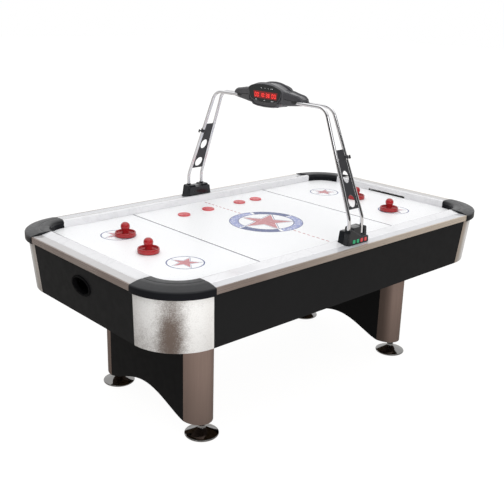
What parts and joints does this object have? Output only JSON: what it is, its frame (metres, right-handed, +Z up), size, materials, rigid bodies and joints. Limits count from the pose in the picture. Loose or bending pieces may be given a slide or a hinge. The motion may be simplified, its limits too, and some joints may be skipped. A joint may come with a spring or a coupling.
{
  "type": "air hockey table",
  "caption": "Full-size air hockey table with rounded metal-look corners, box legs with D-shaped posts, levelling feet and an overhead electronic scoreboard on a tube arch.",
  "frame": {"origin": "on the floor, under the middle of the table", "axes": "+X along the table's length, +Y across its width away from the button side, +Z up"},
  "size_m": [2.14, 1.225, 1.468],
  "materials": {
    "playfield_laminate": "gloss white laminate on board",
    "rail_laminate": "satin pale grey laminate",
    "trim_bronze": "satin bronze anodised",
    "apron_black": "satin black laminate",
    "pocket_plastic": "fine texture",
    "bare_board": "raw fibreboard",
    "zinc_steel": "zinc plated",
    "blower_plastic": "moulded",
    "motor_steel": "pressed steel",
    "grille_steel": "black enamel",
    "leg_black": "satin black laminate",
    "column_bronze": "satin bronze metallic wrap on board",
    "foot_chrome": "polished",
    "base_black": "semi gloss",
    "tube_chrome": "polished",
    "plate_black": "satin black",
    "housing_grey": "metallic dark grey",
    "window_red": "dark red lens",
    "cap_plastic": "satin moulded",
    "corner_silver": "brushed, mottled",
    "button_green": "lit translucent cap",
    "button_red": "lit translucent cap",
    "mallet_red": "glossy moulded",
    "puck_red": "glossy moulded"
  },
  "bodies": {
    "table": {"arch_base_back": "base_black", "arch_base_front": "base_black", "arch_plates": "plate_black", "arch_tubes_back": "tube_chrome", "arch_tubes_front": "tube_chrome", "blower_grille": "grille_steel", "blower_housing": "blower_plastic", "blower_motor": "motor_steel", "corner_blocks": "bare_board", "corner_cap_back_left": "cap_plastic", "corner_cap_back_right": "cap_plastic", "corner_cap_front_left": "cap_plastic", "corner_cap_front_right": "cap_plastic", "corner_panel_back_left": "corner_silver", "corner_panel_back_right": "corner_silver", "corner_panel_front_left": "corner_silver", "corner_panel_front_right": "corner_silver", "end_apron_left": "apron_black", "end_apron_right": "apron_black", "end_rail_left": "rail_laminate", "end_rail_right": "rail_laminate", "goal_troughs": "pocket_plastic", "leg_bolts": "zinc_steel", "leg_column_back_left": "column_bronze", "leg_column_back_right": "column_bronze", "leg_column_front_left": "column_bronze", "leg_column_front_right": "column_bronze", "leg_cores": "bare_board", "leg_inserts": "zinc_steel", "leg_skins_left": "leg_black", "leg_skins_right": "leg_black", "playfield": "playfield_laminate", "plenum_floor": "bare_board", "plenum_ribs": "bare_board", "pocket_bezels": "pocket_plastic", "rail_trims": "trim_bronze", "score_housing_left": "housing_grey", "score_housing_right": "housing_grey", "score_windows": "window_red", "side_apron_back": "apron_black", "side_apron_front": "apron_black", "side_rail_back": "rail_laminate", "side_rail_front": "rail_laminate"},
    "foot_front_left": {"foot_front_left": "foot_chrome"},
    "foot_front_right": {"foot_front_right": "foot_chrome"},
    "foot_back_left": {"foot_back_left": "foot_chrome"},
    "foot_back_right": {"foot_back_right": "foot_chrome"},
    "blower_impeller": {"blower_impeller": "blower_plastic"},
    "mallet_left_back": {"mallet_left_back": "mallet_red"},
    "mallet_left_middle": {"mallet_left_middle": "mallet_red"},
    "mallet_right_front": {"mallet_right_front": "mallet_red"},
    "mallet_right_middle": {"mallet_right_middle": "mallet_red"},
    "puck_a": {"puck_a": "puck_red"},
    "puck_b": {"puck_b": "puck_red"},
    "puck_c": {"puck_c": "puck_red"},
    "puck_d": {"puck_d": "puck_red"},
    "control_button_1": {"control_button_1": "button_green"},
    "control_button_2": {"control_button_2": "button_green"},
    "control_button_3": {"control_button_3": "button_red"},
    "control_button_4": {"control_button_4": "button_red"}
  },
  "joints": [
    {"name": "level_front_left", "type": "slide", "parent": "table", "child": "foot_front_left", "axis": [0, 0, 1], "range_m": [-0.02, 0.015]},
    {"name": "level_front_right", "type": "slide", "parent": "table", "child": "foot_front_right", "axis": [0, 0, 1], "range_m": [-0.02, 0.015]},
    {"name": "level_back_left", "type": "slide", "parent": "table", "child": "foot_back_left", "axis": [0, 0, 1], "range_m": [-0.02, 0.015]},
    {"name": "level_back_right", "type": "slide", "parent": "table", "child": "foot_back_right", "axis": [0, 0, 1], "range_m": [-0.02, 0.015]},
    {"name": "impeller_spin", "type": "hinge", "parent": "table", "child": "blower_impeller", "pos_m": [0, 0, 0.64], "axis": [0, 0, 1], "continuous": true},
    {"name": "mallet_left_back_glide", "type": "slide", "parent": "table", "child": "mallet_left_back", "axis": [1, 0, 0], "range_m": [-0.2145, 0.349]},
    {"name": "mallet_left_middle_glide", "type": "slide", "parent": "table", "child": "mallet_left_middle", "axis": [1, 0, 0], "range_m": [-0.1575, 0.406]},
    {"name": "mallet_right_front_glide", "type": "slide", "parent": "table", "child": "mallet_right_front", "axis": [1, 0, 0], "range_m": [-0.324, 0.2285]},
    {"name": "mallet_right_middle_glide", "type": "slide", "parent": "table", "child": "mallet_right_middle", "axis": [1, 0, 0], "range_m": [-0.389, 0.1635]},
    {"name": "puck_a_glide", "type": "slide", "parent": "table", "child": "puck_a", "axis": [0, 1, 0], "range_m": [-0.8025, 0.1225]},
    {"name": "puck_b_glide", "type": "slide", "parent": "table", "child": "puck_b", "axis": [0, 1, 0], "range_m": [-0.8145, 0.1105]},
    {"name": "puck_c_glide", "type": "slide", "parent": "table", "child": "puck_c", "axis": [0, 1, 0], "range_m": [-0.8245, 0.1005]},
    {"name": "puck_d_glide", "type": "slide", "parent": "table", "child": "puck_d", "axis": [0, 1, 0], "range_m": [-0.8225, 0.1025]},
    {"name": "button_1_press", "type": "slide", "parent": "table", "child": "control_button_1", "axis": [0, 1, 0], "range_m": [0, 0.0015], "stiffness_N_per_m": 300},
    {"name": "button_2_press", "type": "slide", "parent": "table", "child": "control_button_2", "axis": [0, 1, 0], "range_m": [0, 0.0015], "stiffness_N_per_m": 300},
    {"name": "button_3_press", "type": "slide", "parent": "table", "child": "control_button_3", "axis": [0, 1, 0], "range_m": [0, 0.0015], "stiffness_N_per_m": 300},
    {"name": "button_4_press", "type": "slide", "parent": "table", "child": "control_button_4", "axis": [0, 1, 0], "range_m": [0, 0.0015], "stiffness_N_per_m": 300}
  ]
}
